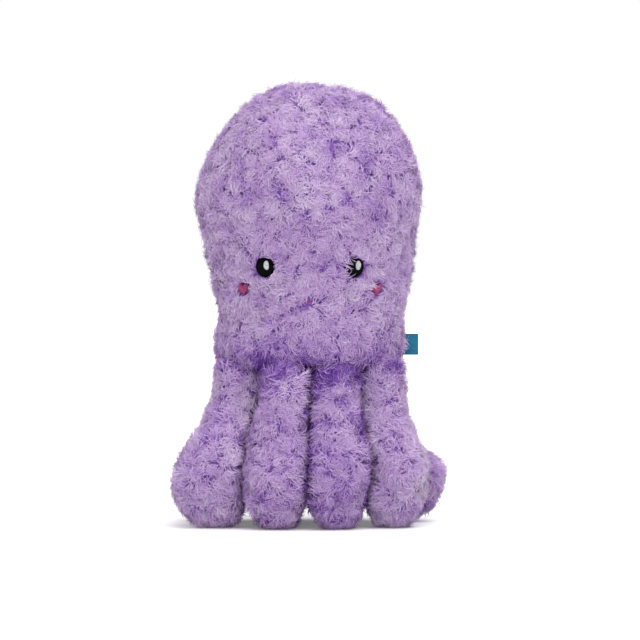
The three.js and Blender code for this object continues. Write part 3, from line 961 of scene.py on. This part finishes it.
def skins_of(tentacles):
    """The skin of the head and of each tentacle, pressed out by its stuffing."""
    quarter, half = HEAD_COLUMNS // 4, TENTACLE_COLUMNS // 2
    seams = {"head": [0, quarter, 2 * quarter]}
    forms = {"head": head_rows(PILE_DEPTH + SWELL)}
    holds = {"head": held(forms["head"], seams["head"], BASE_HEIGHT + SEWN_HEIGHT, CROWN_HEIGHT)}
    for tentacle in tentacles:
        rows = tentacle.rows(PILE_DEPTH + SWELL, BACKING_LIFT)
        forms[tentacle.name] = rows
        seams[tentacle.name] = [0, half]
        holds[tentacle.name] = held(rows, [0, half], SOLE_HEIGHT, BASE_HEIGHT - SEWN_HEIGHT)
    skins = {}
    for name, rows in pressed_out(forms, holds).items():
        skins[name] = stuffed(rows, seams[name], HEAD_LUMPS if name == "head" else LIMB_LUMPS)
    return skins


def add_stuffing(name, rows, out, body, materials):
    """The filling of a skin."""
    mesh = closed_mesh("stuffing", rows - out * 2 * BACKING_THICKNESS)
    stuffing = add_object(f"{name}_fibre", mesh, materials["stuffing"])
    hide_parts(name)
    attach(stuffing, body)


def add_head(rows, patches, materials):
    quarter = HEAD_COLUMNS // 4
    out = outward_of(rows)
    add_stuffing("head_stuffing", rows, out, "head", materials)
    rows, out = rows[:-1], out[:-1]
    spans = {
        "head_back_right_panel": (0, quarter),
        "head_back_left_panel": (quarter, 2 * quarter),
        "head_front_panel": (2 * quarter, 4 * quarter),
    }
    for name, columns in spans.items():
        facing = patches if name == "head_front_panel" else ()
        add_panel(name, rows, out, columns, HEAD_PILE, "head", materials, facing)


def add_tentacle(tentacle, rows, materials):
    """A tentacle: two panels of plush round its stuffing."""
    half = TENTACLE_COLUMNS // 2
    out = outward_of(rows)
    add_stuffing(f"{tentacle.name}_stuffing", rows, out, tentacle.name, materials)
    for name, first in zip(tentacle.panels, (0, half), strict=True):
        columns = (first, first + half)
        add_panel(name, rows, out, columns, LIMB_PILE, tentacle.name, materials, shade=tentacle.shade)


# Face


def face_frame(x, height, sunk):
    """Axes and place of something on the front of the head, sunk under the mean height of the pile:
    to the right, up and out of the head."""
    outline = spaced(HEAD_OUTLINE_SHARES, HEAD_ROWS)
    levels = BASE_HEIGHT + outline[:, 1] * (CROWN_HEIGHT - BASE_HEIGHT)
    half_widths = outline[:, 0] * HEAD_HALF_WIDTH
    half_width = np.interp(height, levels, half_widths)
    slope = np.interp(height, levels, np.gradient(half_widths, levels))
    flatness = HEAD_HALF_DEPTH / HEAD_HALF_WIDTH
    y = -flatness * math.sqrt(half_width**2 - x**2)
    out = unit(np.array([x, y / flatness**2, -slope * half_width]))
    right = unit(np.cross((0, 0, 1), out))
    axes = np.array([right, np.cross(out, right), out])
    return axes, np.array([x, y, height]) - out * sunk


class Patch:
    """An embroidered patch on the face, and the pile that parts around it."""

    def __init__(self, name, x, height, half_size):
        self.name = name
        self.axes, self.place = face_frame(x, height, FACE_POCKET)
        self.half_size = np.array(half_size)
        self.bare_share = BARE_SHARES[name]
        self.overgrown_side = OVERGROWN_SIDES.get(name, 0)

    def inward(self, points):
        """Points in the patch's own axes: to the right, up and out."""
        return (points - self.place) @ self.axes.T

    def outward(self, points):
        """Points of the patch's own axes, in the toy's."""
        return self.place + points @ self.axes

    def share(self, points):
        """How far points are from the patch's middle, where 1 is its edge."""
        found = np.linalg.norm(self.inward(points)[..., :2] / self.half_size, axis=-1)
        return np.where(self.reached(points), found, np.inf)

    def reached(self, points):
        """Which points aren't far behind the patch, as those at the back of the head are."""
        return (points @ self.axes[2]) > self.place @ self.axes[2] - PATCH_BEHIND

    def near(self, roots):
        """Which roots are over the patch or close around it."""
        away = self.inward(roots)[:, :2]
        gap = np.linalg.norm(away, axis=1) * (1 - 1 / np.maximum(self.share(roots), 1))
        return gap < PATCH_REACH

    def combed(self, roots, lean):
        """The leans of strands around the patch. They lean over it on its overgrown side, and are
        turned along its edge elsewhere."""
        away = roots - self.place
        away = unit(away - self.axes[2] * (away @ self.axes[2])[:, None])
        towards = np.minimum((lean * away).sum(axis=1, keepdims=True), 0)
        over = away @ self.axes[0] * self.overgrown_side > OVERGROWN_FROM
        turned_away = lean - PATCH_TURN * towards * away
        return unit(np.where(over[:, None], lean - OVERGROWN_LEAN * away, turned_away))

    def covered(self, lines):
        """Which strands lie over the patch and are trimmed away."""
        over = (self.share(lines[:, 1:]) < PATCH_TRIM).any(axis=1)
        return over & (chance.random(len(lines)) < self.bare_share)


class Smile(Patch):
    """The mouth, an arc whose lowest point is at its place."""

    def share(self, points):
        x, y = np.moveaxis(self.inward(points)[..., :2], -1, 0)
        angle = np.clip(np.arctan2(x, MOUTH_RADIUS - y), -MOUTH_HALF_ANGLE, MOUTH_HALF_ANGLE)
        nearest = MOUTH_RADIUS * np.stack([np.sin(angle), 1 - np.cos(angle)])
        away = np.hypot(x - nearest[0], y - nearest[1])
        return np.where(self.reached(points), away / self.half_size[0], np.inf)


def oval_outline(size):
    turn = np.linspace(0, 2 * math.pi, OUTLINE_POINTS, endpoint=False)
    return np.stack([np.cos(turn), np.sin(turn)], axis=1) * size / 2


def heart_outline(size):
    t = np.linspace(0, 1, OUTLINE_POINTS // 4, endpoint=False)[:, None]
    start = np.array(HEART_POINT)
    right = []
    for b, c, d in np.array(HEART_CURVE_SHARES):
        curve = (1 - t) ** 3 * start + 3 * (1 - t) ** 2 * t * b + 3 * (1 - t) * t**2 * c + t**3 * d
        right.append(curve)
        start = d
    right = np.vstack([*right, start])
    return np.vstack([right, right[-2:0:-1] * (-1, 1)]) * size / 2


def chords(outline):
    """Where threads across an outline lie: the height of each and its two ends."""
    low, high = outline[:, 1].min(), outline[:, 1].max()
    count = int((high - low) / THREAD_PITCH)
    after = np.roll(outline, -1, axis=0)
    found = []
    for level in low + (high - low) * (np.arange(count) + 0.5) / count:
        cut = (outline[:, 1] <= level) != (after[:, 1] <= level)
        a, b = outline[cut], after[cut]
        x = a[:, 0] + (b[:, 0] - a[:, 0]) * (level - a[:, 1]) / (b[:, 1] - a[:, 1])
        found.append((level, x.min(), x.max()))
    return found


def domed(along, aside):
    """Height of a satin patch, from 0 at its edges to 1, by its shares along and across threads."""
    return np.sqrt(np.maximum((1 - along**4) * (1 - aside**4), 0))


def tube(line, radius):
    """Points and faces of a closed round tube along a line."""
    along = unit(np.gradient(line, axis=0))
    side = unit(np.cross(along, ANY_OTHER_SIDE))
    second = np.cross(along, side)
    turns = (2 * math.pi / THREAD_SIDES * np.arange(THREAD_SIDES))[:, None, None]
    rings = line + radius * (side * np.cos(turns) + second * np.sin(turns))
    points = np.moveaxis(rings, 0, 1)
    marks = len(line)
    faces = [tuple(range(THREAD_SIDES))[::-1]]
    for mark in range(marks - 1):
        for i in range(THREAD_SIDES):
            a, b = mark * THREAD_SIDES + i, mark * THREAD_SIDES + (i + 1) % THREAD_SIDES
            faces.append((a, b, b + THREAD_SIDES, a + THREAD_SIDES))
    faces.append(tuple(range((marks - 1) * THREAD_SIDES, marks * THREAD_SIDES)))
    return points.reshape(-1, 3), faces


def joined(parts):
    """Points and faces of several forms as one."""
    points, faces = [], []
    start = 0
    for part_points, part_faces in parts:
        points.append(part_points)
        faces += [tuple(start + i for i in face) for face in part_faces]
        start += len(part_points)
    return np.vstack(points), faces


def satin(outline, thickness, ground, upright):
    """Threads side by side in a dome, in the patch's own axes. The ground is the height that the patch
    stands on at a place, and upright threads run up instead of across."""
    outline = outline[:, ::-1] if upright else outline
    half_tall = np.ptp(outline[:, 1]) / 2
    middle = outline[:, 1].min() + half_tall
    share = np.sin(np.linspace(-math.pi / 2, math.pi / 2, THREAD_MARKS))
    parts = []
    for level, first, last in chords(outline):
        x = (first + last) / 2 + (last - first) / 2 * share
        y = np.full(THREAD_MARKS, level) + chance.normal(0, THREAD_PITCH * THREAD_WANDER)
        x, y = (y, x) if upright else (x, y)
        rise = thickness * domed(share, (level - middle) / half_tall) - THREAD_RADIUS
        line = np.stack([x, y, ground(x, y) + rise], axis=1)
        parts.append(tube(line, THREAD_RADIUS))
    return joined(parts)


def flat_ground(x, y):
    return np.zeros_like(x)


def eye_ground(x, y):
    """Height of the eye's threads under its glint, whose middle is the place of x and y."""
    x, y = x + GLINT_PLACE[0], y + GLINT_PLACE[1]
    half_width, half_tall = np.array(EYE_SIZE) / 2
    aside = np.clip(y / half_tall, -1, 1)
    reach = half_width * np.sqrt(np.maximum(1 - aside**2, 0))
    return EYE_THICKNESS * domed(np.clip(x / reach, -1, 1), aside)


def smile():
    """Two threads twisted round each other along the arc of the mouth, over a core."""
    marks = MOUTH_TWISTS * TWIST_MARKS
    angle = np.linspace(-MOUTH_HALF_ANGLE, MOUTH_HALF_ANGLE, marks)
    share = np.linspace(-1, 1, marks)
    out = np.array([0, 0, 1])
    inner = np.stack([-np.sin(angle), np.cos(angle), 0 * angle], axis=1)
    arc = MOUTH_RADIUS * (np.array([0, 1, 0]) - inner)
    rise = (MOUTH_THICKNESS - 2 * MOUTH_PLY_RADIUS) * domed(share, 0)
    arc = arc + rise[:, None] * out
    parts = [tube(arc - out * MOUTH_PLY_RADIUS, MOUTH_PLY_RADIUS)]
    for ply in (0, math.pi):
        turn = (MOUTH_TWISTS * math.pi * share + ply)[:, None]
        aside = inner * np.cos(turn) + out * np.sin(turn)
        parts.append(tube(arc + MOUTH_PLY_RADIUS * aside, MOUTH_PLY_RADIUS))
    return joined(parts)


def add_patch(patch, form, slot, node, materials):
    points, faces = form
    mesh = mesh_of(node, patch.outward(points), faces)
    piece = add_object(f"{node}_threads", mesh, materials[slot])
    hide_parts(node)
    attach(piece, "head")


def face_patches():
    """The eyes, the cheeks and the mouth, in this order."""
    eye, cheek = np.array(EYE_SIZE) / 2 + PATCH_EDGE, np.array(CHEEK_SIZE) / 2
    return [
        Patch("eye_left", -EYE_SPREAD / 2, EYE_HEIGHT, eye),
        Patch("eye_right", EYE_SPREAD / 2, EYE_HEIGHT, eye),
        Patch("cheek_left", -CHEEK_SPREAD / 2, CHEEK_HEIGHT, cheek),
        Patch("cheek_right", CHEEK_SPREAD / 2, CHEEK_HEIGHT, cheek),
        Smile("mouth", 0, MOUTH_HEIGHT, [MOUTH_CLEAR, MOUTH_CLEAR]),
    ]


def add_face(patches, materials):
    *eyes, left_cheek, right_cheek, mouth = patches
    for eye in eyes:
        form = satin(oval_outline(EYE_SIZE), EYE_THICKNESS, flat_ground, upright=False)
        add_patch(eye, form, "eye_thread", eye.name, materials)
        points, faces = satin(oval_outline(GLINT_SIZE), GLINT_THICKNESS, eye_ground, upright=True)
        glint = points + (*GLINT_PLACE, 0), faces
        add_patch(eye, glint, "glint_thread", eye.name.replace("eye", "eye_glint"), materials)
    for cheek in (left_cheek, right_cheek):
        form = satin(heart_outline(CHEEK_SIZE), CHEEK_THICKNESS, flat_ground, upright=True)
        add_patch(cheek, form, "cheek_thread", cheek.name, materials)
    add_patch(mouth, smile(), "mouth_thread", "mouth", materials)


# Side tag


def add_tag(materials):
    """A ribbon folded in two, with its ends sewn into the side seam."""
    low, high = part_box("side_tag")
    half = TAG_RIBBON + TAG_FOLD / 2
    bend = high[0] - half
    straight = np.linspace(low[0], bend, TAG_COLUMNS, endpoint=False)
    turn = np.linspace(-math.pi / 2, math.pi / 2, TAG_FOLD_COLUMNS)
    x = np.concatenate([straight, bend + half * np.cos(turn), straight[::-1]])
    layer = np.full(TAG_COLUMNS, half)
    y = np.concatenate([-layer, half * np.sin(turn), layer])
    z = np.linspace(low[2], high[2], TAG_ROWS)[:, None]
    free = np.clip((x - low[0] - TAG_SEWN) / TAG_REACH, 0, 1)
    wave = TAG_BOW * free * np.sin(math.pi * np.linspace(*TAG_WAVE, TAG_ROWS)[:, None])
    belly = 1 + TAG_BELLY * np.sin(math.pi * free)
    outside = np.stack(np.broadcast_arrays(x, wave + y * belly, z), axis=2)
    out = unit(np.cross(np.gradient(outside, axis=1), np.gradient(outside, axis=0)))
    mesh = sheet_mesh("side_tag", outside, out, TAG_RIBBON)
    piece = add_object("side_tag_ribbon", mesh, materials["tag_ribbon"])
    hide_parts("side_tag")
    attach(piece, "head")


# Studio


def add_camera():
    middle = IMAGE_WIDTH / 2
    aim = Vector((middle - AXIS_PIXEL, 0, FLOOR_PIXEL - middle)) * METRES_PER_PIXEL
    back = Vector((0, -math.cos(CAMERA_ELEVATION), math.sin(CAMERA_ELEVATION)))
    data = bpy.data.cameras.new("camera")
    data.sensor_width = SENSOR_WIDTH
    data.lens = SENSOR_WIDTH * CAMERA_DISTANCE / (IMAGE_WIDTH * METRES_PER_PIXEL)
    camera = placed("camera", data)
    camera.location = aim + back * CAMERA_DISTANCE
    camera.rotation_euler = (-back).to_track_quat("-Z", "Y").to_euler()
    bpy.context.scene.camera = camera


def add_lamp(name, turn, height, spread, strength):
    data = bpy.data.lights.new(name, "SUN")
    data.angle = math.radians(spread)
    data.energy = strength
    tilt = math.pi / 2 - math.radians(height)
    placed(name, data).rotation_euler = (tilt, 0, math.radians(turn))


def add_world():
    """White for the camera and in reflections, and less bright as a light."""
    world = bpy.data.worlds.new("studio")
    s = Nodes(world)
    rays = s.node("ShaderNodeLightPath").outputs
    inputs = {0: rays["Is Camera Ray"], 1: rays["Is Glossy Ray"]}
    seen = s.node("ShaderNodeMath", inputs, operation="MAXIMUM").outputs[0]
    level = s.node("ShaderNodeMapRange", {"Value": seen, "To Min": WORLD_LIGHT, "To Max": 1})
    background = s.tree.nodes["Background"].inputs
    s.feed(level.outputs["Result"], background["Strength"])
    s.feed((1, 1, 1, 1), background["Color"])
    bpy.context.scene.world = world


def add_floor():
    """A white floor that keeps the toy's shadow."""
    s = Surface("floor", Roughness=0.9, Specular_IOR_Level=0.1)
    s.shader.inputs["Base Color"].default_value = (*[FLOOR_SHADE] * 3, 1)
    rays = s.node("ShaderNodeLightPath").outputs
    s.feed(rays["Is Camera Ray"], s.shader.inputs["Emission Strength"])
    s.shader.inputs["Emission Color"].default_value = (*[FLOOR_GLOW] * 3, 1)
    half = FLOOR_SIZE / 2
    corners = [(-half, -half, 0), (half, -half, 0), (half, half, 0), (-half, half, 0)]
    add_object("floor", mesh_of("floor", corners, [(0, 1, 2, 3)]), s.material)


def main():
    bpy.context.scene.view_settings.view_transform = "Standard"
    add_camera()
    add_world()
    add_floor()
    for name, lamp in LAMPS.items():
        add_lamp(name, *lamp)
    materials = {
        "pile": pile_material(),
        "backing": backing_material(),
        "stuffing": stuffing_material(),
        "tag_ribbon": ribbon_material(),
    }
    for name, look in THREADS.items():
        materials[name] = thread_material(name, *look)
    patches = face_patches()
    tentacles = [Tentacle(joint) for joint in frame["joints"]]
    skins = skins_of(tentacles)
    add_head(skins["head"], patches, materials)
    add_base_panel(tentacles, materials)
    add_face(patches, materials)
    add_tag(materials)
    for tentacle in tentacles:
        add_tentacle(tentacle, skins[tentacle.name], materials)


main()
